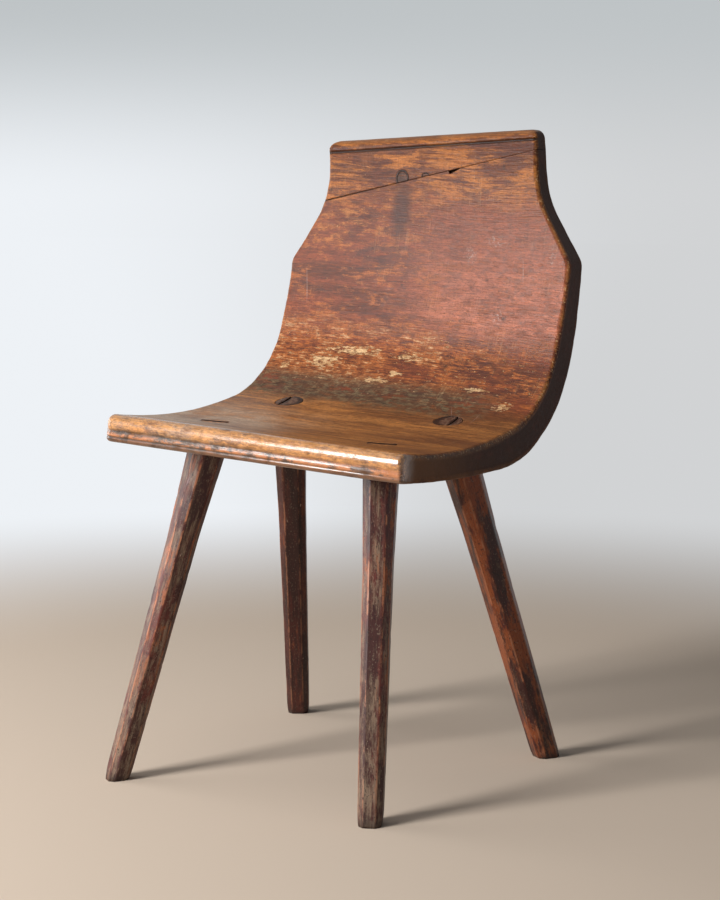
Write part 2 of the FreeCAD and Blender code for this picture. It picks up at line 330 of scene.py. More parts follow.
def to_frame(points):
    """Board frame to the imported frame."""
    x, y, z = np.moveaxis(points, -1, 0)
    px, pz = rolled(x, z)
    return np.stack([px, y, pz], -1) + shift


def from_frame(points):
    """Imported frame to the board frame."""
    px, y, pz = np.moveaxis(points - shift, -1, 0)
    x, z = unrolled(px, pz)
    return np.stack([x, y, z], -1)


def sloping(height, slope):
    """The height at x, in the drawing, of a line that slopes across the board."""
    return lambda x: height + slope * x


joint_line = sloping(joint_height, joint_slope)
groove_line = sloping(crest_groove_height, crest_groove_slope)
top_line = sloping(crest_front[1], crest_slope)


def bell(distance, width):
    """1 at a distance of zero, falling smoothly to 0."""
    return np.exp(-(distance / width) ** 2)


def ramp(value, start, width):
    """0 up to start, rising to 1 over a width."""
    return np.clip((value - start) / width, 0, 1)


def wear(points, waves, seed=0):
    """Smooth unevenness at points: the sum of waves."""
    total = 0
    for height, size, number in waves:
        start = seed + number
        offset = Vector((start, start * 0.7, start * 0.3))
        levels = [noise.noise(Vector(point) / size + offset) for point in points.reshape(-1, 3)]
        total = total + height * np.reshape(levels, points.shape[:-1])
    return total


def back_half_width(z):
    """Half the board's width at a height: sides, shoulder, swept neck and crest."""
    turn = math.radians(90) - neck_slope
    opening = math.pi - neck_slope
    shoulder_setback = shoulder_rounding / math.tan(opening / 2)
    neck_corner = shoulder_height + (half_width - half_crest) / math.tan(neck_slope)
    neck_setback = neck_sweep_radius / math.tan(opening / 2)
    shoulder_start = shoulder_height - shoulder_setback
    shoulder_end = shoulder_height + shoulder_setback * math.sin(turn)
    sweep_start = neck_corner - neck_setback * math.sin(turn)
    sweep_end = neck_corner + neck_setback
    shoulder_drop = np.clip(z - shoulder_start, 0, shoulder_rounding)
    sweep_drop = np.clip(sweep_end - z, 0, neck_sweep_radius)
    shoulder = half_width - shoulder_rounding + np.sqrt(shoulder_rounding ** 2 - shoulder_drop ** 2)
    slope = half_width - (z - shoulder_height) * math.tan(neck_slope)
    sweep = half_crest + neck_sweep_radius - np.sqrt(neck_sweep_radius ** 2 - sweep_drop ** 2)
    return np.select(
        [z < shoulder_start, z < shoulder_end, z < sweep_start, z < sweep_end],
        [half_width + 0 * z, shoulder, slope, sweep],
        half_crest,
    )


def left_flare(y):
    """How far the seat's left side flares outwards, from the bend to the front."""
    depth = bend_centre[0]
    radius = (depth ** 2 + seat_left_flare ** 2) / (2 * seat_left_flare)
    return radius - np.sqrt(radius ** 2 - np.clip(depth - y, 0, depth) ** 2)


def beyond_side(px, y, pz):
    """How far out a point of the drawing lies past the board's nearer side."""
    half = back_half_width(pz)
    return np.maximum(px - half, -px - half - left_flare(y))


def rounded_max(a, b, radius):
    """Signed distance to what two surfaces leave, with a rounded edge between them."""
    u = np.maximum(radius + a, 0)
    v = np.maximum(radius + b, 0)
    return np.minimum(-radius, np.maximum(a, b)) + np.hypot(u, v)


def face_distances(y, z):
    """Distances out of the board through its hollow face and through its outer face."""
    return -hollow_face.distance(y, z), outer_face.distance(y, z)


def board_distance(points, worn):
    """Signed distance to the board's eased outside; worn varies its arrises."""
    x, y, z = np.moveaxis(points, -1, 0)
    px, pz = rolled(x, z)
    hollow, outer = face_distances(y, z)
    lean = (back_half_width(pz + lean_probe) - back_half_width(pz)) / lean_probe
    side = beyond_side(px, y, pz) / np.hypot(1, lean)
    top = pz - top_line(px)
    rim = rounded_max(side, top, crest_corner_radius)
    profile = np.maximum(rounded_max(hollow, -y, nosing_radius), rounded_max(outer, -y, arris_radius))
    crest_share = np.clip((top - side) / crest_arris_blend + 0.5, 0, 1)
    front_radius = arris_radius + (crest_arris_radius - arris_radius) * crest_share
    radius = np.where(hollow > outer, front_radius, rear_arris_radius) + worn
    return rounded_max(profile, rim, radius)


def slope_of(distance, points, probe):
    """A distance at points, and its slope there."""
    here = distance(points)
    return here, np.stack([(distance(points + step) - here) / probe for step in np.eye(3) * probe], -1)


def settle(points, distance):
    """Points moved along the slope of a distance until they lie on its zero surface."""
    for _ in range(settle_rounds):
        here, slope = slope_of(distance, points, settle_probe)
        points = points - slope * (here / np.maximum((slope ** 2).sum(-1), least_steepness))[..., None]
    return points


def spaced(length, fine_start, fine_end):
    """Shares from 0 to 1 along a length, closer together at its fine ends."""
    marks = [0.0]
    while marks[-1] < length:
        here = marks[-1]
        near = (fine_start and here < edge_zone) or (fine_end and here > length - edge_zone - board_step)
        marks.append(here + (fine_step if near else board_step))
    return np.array(marks) / marks[-1]


def board_grid(stretches):
    """Points (rows, columns, layers, 3) that fill a board, before its arrises are eased."""
    across = spaced(2 * half_width, True, True)
    layers = spaced(board_depth, True, True)[:, None]
    rows = []
    for stretch, length, fine_start, fine_end in stretches:
        shares = spaced(length, fine_start, fine_end)
        rows += [(stretch, share) for share in (shares[1:] if rows else shares)]
    grid = []
    for row in rows:
        x = (2 * across - 1) * half_width
        for _ in range(row_rounds):
            y, z = hollow_face.row(*row, x)
            rear = outer_face.row(*row, x)
            px, pz = rolled(x, z)
            half = back_half_width(np.minimum(pz, top_line(px)))
            corner = np.clip(pz - (top_line(px) - crest_corner_radius), 0, crest_corner_radius)
            half = half - (crest_corner_radius - np.sqrt(crest_corner_radius ** 2 - corner ** 2))
            left = -half - left_flare(y)
            target = left + (half - left) * across
            x = (target - (z - seat_front[1]) * math.sin(board_roll)) / math.cos(board_roll)
        front = np.stack([x, y, z], -1)[:, None]
        grid.append(front + (np.stack([x, *rear], -1)[:, None] - front) * layers)
    return np.array(grid)


def shell(grid):
    """Points and faces of the outside of a grid of points."""
    outside = np.zeros(grid.shape[:3], bool)
    for axis in range(3):
        for end in (0, -1):
            np.moveaxis(outside, axis, 0)[end] = True
    number = np.full(grid.shape[:3], -1)
    number[outside] = np.arange(outside.sum())
    faces = []
    for axis in range(3):
        for end in (0, -1):
            sheet = np.take(number, end, axis=axis)
            quads = np.stack([sheet[:-1, :-1], sheet[1:, :-1], sheet[1:, 1:], sheet[:-1, 1:]], -1)
            quads = quads.reshape(-1, 4)
            faces += (quads[:, ::-1] if (end == 0) == (axis == 1) else quads).tolist()
    return grid[outside], faces


def linked(name, data):
    """A new object in the scene."""
    piece = bpy.data.objects.new(name, data)
    bpy.context.scene.collection.objects.link(piece)
    return piece


def mesh_object(name, points, faces):
    """A smooth-shaded object from points and faces."""
    mesh = bpy.data.meshes.new(name)
    mesh.from_pydata(points.tolist(), [], faces)
    mesh.validate()
    mesh.shade_smooth()
    return linked(name, mesh)


def ring_object(name, rows):
    """A closed tube from rings of points, each end closed with a fan."""
    rings = np.array(rows)
    points = np.concatenate([rings.reshape(-1, 3), rings[[0, -1]].mean(1)])
    number = np.arange(rings.shape[0] * rings.shape[1]).reshape(rings.shape[:2])
    after = np.roll(number, -1, axis=1)
    faces = np.stack([number[:-1], after[:-1], after[1:], number[1:]], -1).reshape(-1, 4).tolist()
    first, last = len(points) - 2, len(points) - 1
    for (low, high), (low_next, high_next) in zip(number[[0, -1]].T.tolist(), after[[0, -1]].T.tolist()):
        faces += [(low_next, low, first), (high, high_next, last)]
    return mesh_object(name, points, faces)


def groove_depth(distance, radius):
    """Depth of a round groove at a distance from its middle."""
    return np.sqrt(np.maximum(radius ** 2 - distance ** 2, 0))


def moulding_share(x):
    """How much is left of the front mouldings at x: they are worn away on the right."""
    return np.interp(x, (-half_width, 0, half_width), moulding_shares)


def board_piece(name, upper):
    """The seat and back board, or the crest board, with its mouldings and wear."""
    points, faces = shell(board_grid(upper_stretches if upper else lower_stretches))
    worn = wear(points, arris_waves)
    worn += worn_corner_radius * bell(np.linalg.norm(points - worn_corner, axis=-1), worn_corner_reach)

    def distance(p):
        px, pz = rolled(p[..., 0], p[..., 2])
        above = (pz - joint_line(px)) * math.cos(math.atan(joint_slope))
        joint_side = joint_gap / 2 + (-above if upper else above)
        arris = np.interp(p[..., 0], (-half_crest, half_crest), joint_arris_radii)
        return rounded_max(board_distance(p, worn), joint_side, arris)

    points = settle(points, distance)
    normals = slope_of(distance, points, normal_probe)[1]
    normals /= np.linalg.norm(normals, axis=-1, keepdims=True)
    depth = wear(points, board_waves)
    px, pz = rolled(points[:, 0], points[:, 2])
    front = normals[:, 1] < facing_front
    if upper:
        depth += front * groove_depth(pz - groove_line(px), crest_groove_radius)
    else:
        nose = front & (points[:, 1] < nosing_radius)
        left_over = (1 + wear(points, moulding_waves)) * moulding_share(points[:, 0])
        for height, radius, _, _ in quirks:
            above = points[:, 2] - seat_bottom[1] - height
            depth += nose * groove_depth(above, radius) * left_over
    points = points - normals * depth[:, None]
    if not upper:
        points = chipped(points)
    return mesh_object(name, to_frame(points), faces)


def chipped(points):
    """The board's points with a splinter gone from its front edge at the joint."""
    px, pz = rolled(points[:, 0], points[:, 2])
    share = np.clip((px - chip_left) / (chip_right - chip_left), 0, 1)
    deep = np.interp(share, *chip_outline_shares) * chip_drop
    below = joint_line(px) - pz
    behind = points[:, 1] - hollow_face.row(4, 0, points[:, 0])[0]
    low = (below < deep) & (np.abs(behind) < chip_depth) & (pz > joint_height - half_width)
    moved = points.copy()
    moved[:, 2] -= np.where(low, deep - below, 0)
    return moved


def plain_board(points):
    """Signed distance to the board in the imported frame."""
    return board_distance(from_frame(points), 0)


def along_line(start, way, low, high):
    """Share along way where a line leaves the board, between low and high."""
    low = np.full(len(start), low)
    high = np.full(len(start), high)
    for _ in range(halvings):
        middle = (low + high) / 2
        inside = plain_board(start + way * middle[:, None]) < 0
        low = np.where(inside, middle, low)
        high = np.where(inside, high, middle)
    return middle


def square_to(along, way):
    """The unit vector nearest to a way that is square to an axis."""
    way = np.array(way)
    way = way - along * way.dot(along)
    return way / np.linalg.norm(way)


def leg_axis(tenon_x, tenon_y, splay_x, splay_y):
    """Foot and head of a leg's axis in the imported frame, and the unit vector between."""
    head = np.array((tenon_x, tenon_y, above_seat)) + shift
    gap = above_seat
    while gap > hit_gap:
        gap = plain_board(head[None])[0]
        head[2] -= gap
    foot = np.array((tenon_x + splay_x, tenon_y + splay_y, 0)) + shift
    return foot, head, (head - foot) / np.linalg.norm(head - foot)


def octagon_ring(width):
    """One eight-sided ring with eased arrises, as (u, v) pairs in the leg's own plane."""
    half = width / 2
    flat = half - width * leg_corner_share
    corners = np.array([(half, -flat), (half, flat), (flat, half), (-flat, half),
                        (-half, flat), (-half, -flat), (-flat, -half), (flat, -half)])
    ring = []
    for index, corner in enumerate(corners):
        after = corners[(index + 1) % len(corners)]
        before = corners[index - 1]
        ring.append(corner * (1 - 2 * leg_easing_share) + (after + before) * leg_easing_share)
        ring += [corner + (after - corner) * share for share in leg_face_shares]
    return np.array(ring)


def arris_share(across, width):
    """1 on a leg's eight arrises, falling to 0 at the middle of its faces."""
    size = np.abs(across) / np.reshape(width, (-1, 1))
    flat = 0.5 - leg_corner_share
    near = np.minimum(np.hypot(size[:, 0] - 0.5, size[:, 1] - flat),
                      np.hypot(size[:, 0] - flat, size[:, 1] - 0.5))
    return bell(near, arris_width_share)


def leg_piece(name, place):
    """A shaved leg with its round tenon, up to the top of the seat."""
    foot, head, along = leg_axis(*place)
    length = np.linalg.norm(head - foot)
    in_seat = length - seat_probe
    outward = square_to(along, (*place[2:], 0.0))
    sideways = np.cross(along, outward)
    seed = sum(map(ord, name)) % leg_seeds
    shoulder = length - (seat_front[1] - seat_bottom[1]) / 2
    calf = shoulder * (1 - leg_calf_share)
    widths = np.array((leg_foot_width, leg_calf_width, leg_top_width)) * girth_shares[name]

    def width_at(reach):
        return np.interp(reach, (0, calf, shoulder), widths)

    def placed(ring, reach):
        return foot + ring[:, :1] * outward + ring[:, 1:] * sideways + along * np.reshape(reach, (-1, 1))

    def under(ring):
        return in_seat - along_line(placed(ring, in_seat), -along, *under_search)

    def surface(ring):
        return in_seat + along_line(placed(ring, in_seat), along, *surface_search)

    sole = -placed(octagon_ring(width_at(0)), 0)[:, 2] / along[2]
    top_ring = octagon_ring(width_at(shoulder))
    shaft_top = under(top_ring)
    rows = []
    for share in np.linspace(0, 1, int(shoulder / leg_step) + 1):
        reach = sole + (shaft_top - sole) * share
        middle = float(reach.mean())
        ring = octagon_ring(width_at(middle))
        points = placed(ring, reach)
        nicks = np.clip(wear(points, nick_waves, seed) - leg_nick_level, 0, 1) * leg_nick_depth
        lift = wear(points, leg_waves, seed) - nicks * arris_share(ring, width_at(middle))
        lift -= sole_wear * math.exp(-middle / sole_wear_reach)
        out = ring / np.linalg.norm(ring, axis=1, keepdims=True)
        points = placed(ring + out * lift[:, None], reach)
        points[:, 2] = np.maximum(points[:, 2], 0) if rows else 0
        rows.append(points)

    turn = np.arctan2(top_ring[:, 1], top_ring[:, 0])
    round_ring = np.stack([np.cos(turn), np.sin(turn)], -1) * tenon_radius
    neck = under(round_ring)
    tenon_top = surface(round_ring)
    for share in np.linspace(0, 1, tenon_rings):
        rows.append(placed(round_ring, neck + (tenon_top - neck) * share))
    for share in tenon_cap_shares:
        cap = placed(round_ring * share, surface(round_ring * share))
        rows.append(cap + along * (wear(cap, tenon_waves, seed) - tenon_sink)[:, None])
    leg = ring_object(name + "_leg_visual", rows)
    cut(leg, [wedge_block(name + "_slot", name, wedge_slot_room, wedge_slot_above)])

    positions = vertex_positions(leg)
    _, _, line, beside = wedge_axes(name)
    from_head = positions - head
    aside = from_head @ beside - wedges[name][1]
    from_foot = positions - foot
    reach = from_foot @ along
    across = np.stack([from_foot @ outward, from_foot @ sideways, reach], -1)
    store(leg, {
        "tenon_place": np.stack([from_head @ line, aside, from_head @ along], -1),
        "warmth": np.full(len(reach), leg_warmth[name]),
        "shade": np.full(len(reach), leg_shade[name]),
        "leg_place": across + (seed * leg_grain_shift, 0, 0),
        "arris": arris_share(across[:, :2], width_at(reach)) * (reach < shoulder - leg_arris_end),
        "tenon": ramp(reach - shoulder, *tenon_edge),
        "flush": np.full(len(reach), float("front" in name)),
    })
    return leg


def wedge_axes(name):
    """Head and direction of a tenon's axis, the wedge's line there and the way across it."""
    turn = wedges[name][0]
    _, head, along = leg_axis(*legs[name])
    line = square_to(along, (math.cos(turn), math.sin(turn), 0.0))
    return head, along, line, np.cross(line, along)


def wedge_block(title, name, room, above):
    """A wedge, clipped to its tenon. It ends at a height above the seat's surface."""
    head, along, line, across = wedge_axes(name)
    radius = tenon_radius + (wedge_slot_overrun if room else -wedge_inset)
    sides = [np.linspace(start, 1, count) for start, count in zip((0, -1, -1), wedge_points)]
    up, ahead, aside = np.meshgrid(*sides, indexing="ij")
    half = (wedge_tip_thickness + (wedge_thickness - wedge_tip_thickness) * up) / 2 + room
    aside = (wedges[name][1] + aside * half)[..., None]
    chord = np.sqrt(radius ** 2 - aside ** 2)
    reach = ((up - 1) * wedge_length - room)[..., None]
    grid = head + across * aside + line * ahead[..., None] * chord + along * reach
    top = grid[-1].reshape(-1, 3)
    rise = along_line(top - along * seat_probe, along, *wedge_top_search) - seat_probe + above
    grid[-1] += (along * rise[:, None]).reshape(grid[-1].shape)
    return mesh_object(title, *shell(grid))


def cut(piece, cutters):
    """Cut other meshes out of a piece, and remove them."""
    for cutter in cutters:
        modifier = piece.modifiers.new("cut", "BOOLEAN")
        modifier.object = cutter
        modifier.operation = "DIFFERENCE"
        modifier.solver = "EXACT"
    graph = bpy.context.evaluated_depsgraph_get()
    piece.data = bpy.data.meshes.new_from_object(piece.evaluated_get(graph))
    piece.modifiers.clear()
    for cutter in cutters:
        bpy.data.objects.remove(cutter)


def mortise_cutter(name, place):
    """A slightly uneven rod for one mortise."""
    _, head, along = leg_axis(*place)
    side = np.cross(along, (0, 1, 0.0))
    side /= np.linalg.norm(side)
    other = np.cross(along, side)
    turn = np.linspace(0, 2 * math.pi, mortise_sides, endpoint=False)
    gap = rear_mortise_gap if "rear" in name else front_mortise_gap
    radius = mortise_radius + gap * np.clip(np.cos(turn - math.pi), 0, 1) ** 2
    ring = np.outer(radius * np.cos(turn), side) + np.outer(radius * np.sin(turn), other)
    return ring_object(name + "_mortise", [head + ring + along * reach for reach in mortise_reaches])


def vertex_positions(piece):
    """Every vertex of a mesh object."""
    return np.array([vertex.co for vertex in piece.data.vertices])


def store(piece, values):
    """Store one number or one vector per vertex, by name, for the materials to read."""
    for name, numbers in values.items():
        numbers = np.asarray(numbers, np.float32)
        kind, field = ("FLOAT", "value") if numbers.ndim == 1 else ("FLOAT_VECTOR", "vector")
        piece.data.attributes.new(name, kind, "POINT").data.foreach_set(field, numbers.ravel())


def describe_board(piece):
    """Give each vertex of a board its place and wear for the material."""
    x, y, z = from_frame(vertex_positions(piece)).T
    px, pz = rolled(x, z)
    hollow, outer = face_distances(y, z)
    side = beyond_side(px, y, pz)
    top = pz - top_line(px)
    inside = np.minimum(-hollow, -outer)
    within = np.minimum(inside, y)
    nose = (y < nose_zone) * (within < face_zone) * moulding_share(x)
    dirt = sum(nose * thick * bell(z - seat_bottom[1] - height, wide) for height, _, wide, thick in quirks)
    dirt += bell(pz - groove_line(px), groove_dirt_width) * (hollow > -face_zone)
    seam_dirt = np.interp(px, (-half_crest, 0, half_crest), seam_dirt_shares)
    dirt += seam_dirt * bell(pz - joint_line(px), seam_dirt_width)
    from_chip = np.abs(pz - joint_line(px) + chip_dirt_drop)
    chip = (px > chip_left) * (px < chip_right) * (from_chip < chip_dirt_half)
    chip = chip * (hollow > -chip_depth) * (hollow < -chip_dirt_depth)
    behind = np.minimum(inside, y * side_face_front_share)
    near_face = np.minimum(-hollow, y) < face_zone
    store(piece, {
        "board_place": np.stack([x, hollow_face.run(y, z), -hollow], -1),
        "side_face": ramp(behind, *side_face_edge) * (side > top),
        "top_face": ramp(within, *top_face_edge) * (side <= top),
        "rear_face": ramp(outer, *rear_face_edge) * (hollow < outer),
        "rim": bell(np.maximum(side, top) + rim_inset, rim_width) * near_face,
        "cavity": np.clip(dirt + chip, 0, 1),
    })


class Value:
    """A number, vector or colour that a material's nodes work out."""

    def __init__(self, paint, socket):
        self.paint = paint
        self.socket = socket

    def __add__(self, other):
        return self.paint.maths("ADD", self, other)

    def __radd__(self, other):
        return self.paint.maths("ADD", other, self)

    def __rsub__(self, other):
        return self.paint.maths("SUBTRACT", other, self)

    def __mul__(self, other):
        return self.paint.maths("MULTIPLY", self, other)

    def step(self, low, high):
        """0 below low and 1 above high, smooth between. low may be above high."""
        ends = (0, 1) if low < high else (1, 0)
        return self.paint.value("MapRange", self, min(low, high), max(low, high), *ends,
                                interpolation_type="SMOOTHSTEP")

    def layered(self, *layers):
        """This colour under some layers, each given as its colour and the share it covers."""
        colour = self
        for new, share in layers:
            colour = self.paint.mix(share, colour, new)
        return colour


class Paint:
    """Makes the nodes of a material or world. Inputs may be numbers, colours or Values."""

    def __init__(self, owner):
        self.owner = owner
        owner.use_nodes = True
        self.tree = owner.node_tree
        self.shader = self.tree.nodes.get("Principled BSDF")

    def put(self, value, socket):
        """Link a Value to a socket, or set the socket to a number or colour."""
        value = getattr(value, "socket", value)
        if isinstance(value, bpy.types.NodeSocket):
            self.tree.links.new(value, socket)
        elif socket.type == "RGBA":
            socket.default_value = (*value, 1)
        else:
            socket.default_value = value

    def node(self, kind, *inputs, **settings):
        """A new node, with its settings and its first inputs filled in."""
        node = self.tree.nodes.new("ShaderNode" + kind)
        for name, setting in settings.items():
            setattr(node, name, setting)
        for value, socket in zip(inputs, node.inputs):
            self.put(value, socket)
        return node

    def value(self, kind, *inputs, output=0, **settings):
        """One output of a new node."""
        return Value(self, self.node(kind, *inputs, **settings).outputs[output])

    def maths(self, operation, a, b):
        return self.value("Math", a, b, operation=operation)

    def read(self, name, output="Fac"):
        """A value stored on the mesh."""
        return self.value("Attribute", attribute_name=name, output=output)

    def part(self, vector, axis):
        """One coordinate of a vector."""
        return self.value("SeparateXYZ", vector, output=axis)

    def moved(self, vector, scale, offset):
        """A vector scaled, then offset."""
        return self.value("Mapping", vector, offset, (0, 0, 0), scale)

    def length(self, vector):
        return self.value("VectorMath", vector, operation="LENGTH", output="Value")

    def noise(self, vector, scale, detail, seed, rough=0.55, bend=0.0):
        """Noise with features of 1 / scale metres on each axis."""
        node = self.node("TexNoise", self.moved(vector, scale, (seed, seed * 0.37, seed * 0.71)))
        for name, number in (("Scale", 1), ("Detail", detail), ("Roughness", rough), ("Distortion", bend)):
            node.inputs[name].default_value = number
        return Value(self, node.outputs["Fac"])

    def most(self, *values):
        """The largest of some values."""
        total = values[0]
        for value in values[1:]:
            total = self.maths("MAXIMUM", total, value)
        return total

    def mix(self, share, a, b):
        """Colour a, turning to b as share goes to 1."""
        node = self.node("Mix", share, data_type="RGBA")
        for value, socket in zip((a, b), [socket for socket in node.inputs if socket.type == "RGBA"]):
            self.put(value, socket)
        return Value(self, next(socket for socket in node.outputs if socket.type == "RGBA"))

    def patch(self, vector, centre, size, edge):
        """1 inside an ellipse on a surface, falling to 0 at its rim."""
        scale = (1 / size[0], 1 / size[1], 0)
        offset = (-centre[0] / size[0], -centre[1] / size[1], 0)
        return self.length(self.moved(vector, scale, offset)).step(1, 1 - edge)

    def line(self, vector, start, end, width):
        """1 on a straight stroke between two points on a surface."""
        middle = ((start[0] + end[0]) / 2, (start[1] + end[1]) / 2)
        half = math.hypot(end[0] - start[0], end[1] - start[1]) / 2
        centred = self.moved(vector, (1, 1, 0), (-middle[0], -middle[1], 0))
        node = self.node("VectorRotate", centred, rotation_type="Z_AXIS")
        node.inputs["Angle"].default_value = -math.atan2(end[1] - start[1], end[0] - start[0])
        return self.patch(node.outputs[0], (0, 0), (half, width / 2), 0.7)

    def finish(self, colour, roughness, height, relief, specular, coat=0.0, coat_roughness=0.3):
        """Join colour, roughness, wax and bump to the shader."""
        bump = self.node("Bump", 1, relief)
        self.put(height, bump.inputs["Height"])
        for name, value in (("Base Color", colour), ("Roughness", roughness),
                            ("Specular IOR Level", specular), ("Coat Weight", coat),
                            ("Coat Roughness", coat_roughness), ("Coat IOR", wax_index),
                            ("Normal", bump.outputs[0])):
            self.put(value, self.shader.inputs[name])
        return self.owner


# Refractive index of the wax, how far the board's grain sways, and each wood's relief
wax_index = 1.7
grain_sway = 18 * MM
board_relief = 0.7 * MM
leg_relief = 0.4 * MM
small_relief = 0.3 * MM

# Colours of the chair, as linear RGB
mahogany = (0.110, 0.028, 0.013)
rosy = (0.450, 0.125, 0.060)
# Painted sheen: a lighter rosy that the low right of the back turns to
painted_sheen_rosy = (0.620, 0.195, 0.105)
chestnut = (0.235, 0.055, 0.023)
orange = (0.460, 0.135, 0.032)
golden = (0.600, 0.245, 0.066)
ochre = (0.215, 0.085, 0.030)
umber = (0.045, 0.018, 0.010)
plum = (0.072, 0.021, 0.017)
cream = (0.760, 0.500, 0.260)
grime = (0.060, 0.044, 0.028)
moss = (0.185, 0.140, 0.075)
silver = (0.340, 0.250, 0.180)
end_grain = (0.046, 0.019, 0.012)
soot = (0.010, 0.006, 0.005)
dull_back = (0.110, 0.050, 0.026)
crest_brown = (0.150, 0.046, 0.014)
crest_gold = (0.500, 0.175, 0.036)
bared_red = (0.120, 0.030, 0.014)
gilt_colour = (0.700, 0.300, 0.070)
stained = (0.058, 0.018, 0.013)
leg_wine = (0.050, 0.012, 0.009)
leg_red = (0.140, 0.030, 0.020)
leg_brown = (0.070, 0.036, 0.024)
leg_olive = (0.290, 0.200, 0.130)
leg_orange = (0.380, 0.085, 0.016)
leg_rubbed = (0.500, 0.200, 0.100)
leg_nick = (0.500, 0.340, 0.240)
foot_grey = (0.270, 0.185, 0.125)
# Pale worn wood, made lighter still as a painted sheen, for the seat's left
bleached_and_sheen = (0.640, 0.440, 0.285)
chalk = (0.560, 0.420, 0.360)
tenon_brown = (0.150, 0.085, 0.054)
side_brown = (0.190, 0.092, 0.046)
side_dark = (0.034, 0.012, 0.007)
knot_brown = (0.150, 0.070, 0.045)
dowel_dark = (0.30, 0.17, 0.08)
dowel_light = (0.45, 0.28, 0.14)

# Places on the board as (across, run), both in metres: run goes along the hollow
# face from the seat's front edge to the crest
flaked_patches = [
    ((-0.126, 0.345), (0.040, 0.018)), ((-0.183, 0.331), (0.014, 0.010)),
    ((-0.035, 0.322), (0.040, 0.008)), ((0.000, 0.364), (0.030, 0.009)),
    ((0.118, 0.324), (0.030, 0.007)), ((-0.085, 0.365), (0.060, 0.010)),
    ((0.170, 0.300), (0.024, 0.018)), ((-0.010, 0.337), (0.018, 0.008)),
]
pale_strokes = [
    ((-0.1957, 0.4808), (-0.1808, 0.4176), 0.0016),
    ((0.1376, 0.5107), (0.1448, 0.4687), 0.0014),
    ((0.134, 0.116), (0.170, 0.124), 0.0012),
    ((0.100, 0.292), (0.118, 0.262), 0.0010),
    ((0.148, 0.287), (0.151, 0.246), 0.0010),
    ((0.093, 0.520), (0.116, 0.526), 0.0013),
]
scuffed_patches = [((0.0957, 0.5261), (0.017, 0.012)), ((0.1167, 0.4288), (0.016, 0.014)),
                   ((0.180, 0.509), (0.008, 0.020)), ((0.060, 0.505), (0.014, 0.016))]
dark_spots = [((0.1245, 0.4268), (0.0045, 0.0040)), ((-0.0365, 0.4600), (0.0032, 0.0030)),
              ((0.0992, 0.6204), (0.0042, 0.0050)), ((0.1127, 0.6133), (0.0025, 0.0030)),
              ((0.0900, 0.4750), (0.0040, 0.0030)), ((0.0600, 0.3560), (0.0050, 0.0045))]
stain = ((-0.053, 0.558), (0.021, 0.060))
knots = [((-0.0550, 0.6000), (0.0108, 0.0125)), ((-0.0190, 0.6045), (0.0068, 0.0052))]
knot_core_shares = (0.76, 0.78)

# Soft edges of the zones on the board, in metres along the run: nothing at the first
# number, all at the second
upper_back = (0.48, 0.55)
calm_from = (0.37, 0.42)
calm_to = (0.66, 0.56)
# Painted sheen: below this run the calm zone turns to the lighter rosy
painted_sheen_low = (0.54, 0.42)
# Painted shade: the upper back darkens towards mahogany over this run
painted_shade_upper = (0.46, 0.58)
golden_crest = (0.600, 0.660)
# Pale zone at the seat's left, partly a painted sheen: along the run
bleached_sheen_seat = (0.24, 0.14)
gilt_nose = (0.060, 0.012)
seat_zone = (0.335, 0.275)
bared_from = (0.300, 0.330)
bared_to = (0.425, 0.370)
dirty_from = (0.246, 0.280)
dirty_to = (0.336, 0.304)
front_edge = (0.012, 0.004)
rubbed_rim = (0.20, 0.30)
brown_side = (0.20, 0.02)
polished_nose = (0.035, 0.010)

# The same, across the board and into its front edge
warm_left = (0.03, -0.10)
calm_right = (0.0, 0.20)
# Pale zone at the seat's left, partly a painted sheen: across the board
bleached_sheen_left = (0.04, -0.12)
dark_right = (0.08, 0.19)
bared_left = (0.16, 0.00)
dirty_left = (0.190, 0.100)
lower_edge = (0.017, 0.023)

# And up a leg
grey_foot = (0.24, 0.02)
dark_sole = (0.014, 0.0)
tenon_reach = tenon_radius * 1.05
slit_half = 6.5 * MM

# Patterns in the board that follow its grain, and others: features per metre on each
# axis, detail, seed, roughness and bend
grain_patterns = {
    "band": ((4, 42, 42), 6, 3, 0.68),
    "streak": ((16, 260, 260), 5, 11, 0.68),
    "hair": ((40, 600, 600), 3, 13, 0.6),
    "fibre": ((110, 1300, 1300), 2, 17, 0.6),
    "ragged": ((28, 80, 80), 9, 47, 0.78, 0.3),
    "short_streak": ((60, 460, 460), 6, 43, 0.72),
    "pores": ((170, 520, 520), 4, 59, 0.7),
}
place_patterns = {
    "blotch": ((13, 26, 26), 8, 23, 0.66, 0.3),
    "smear": ((12, 44, 44), 8, 53, 0.72, 0.4),
    "mottle": ((75, 120, 120), 5, 31, 0.66),
    "speck": ((420, 700, 700), 2, 37, 0.5),
    "scrape": ((560, 14, 14), 3, 41, 0.6),
    "flake": ((125, 400, 400), 5, 61, 0.68, 0.2),
    "scuff": ((260, 260, 260), 3, 67, 0.6),
    "ends": ((30, 60, 60), 5, 71),
}
leg_patterns = {
    "band": ((50, 50, 7), 6, 5, 0.68),
    "streak": ((300, 300, 26), 5, 9, 0.68),
    "fibre": ((1300, 1300, 60), 2, 15, 0.6),
    "ragged": ((90, 90, 30), 8, 19, 0.74, 0.2),
    "chatter": ((20, 20, 300), 2, 25, 0.5),
    "speck": ((460, 460, 260), 2, 29, 0.5),
    "nick": ((200, 200, 60), 4, 33, 0.6),
    "rings": ((260, 260, 30), 3, 35, 0.6),
    "pale": ((520, 520, 330), 2, 39, 0.5),
}


class Wood(Paint):
    """Paint for a piece of wood, with its patterns as values of its own."""

    def add_patterns(self, place, patterns):
        for name, pattern in patterns.items():
            setattr(self, name, self.noise(place, *pattern))


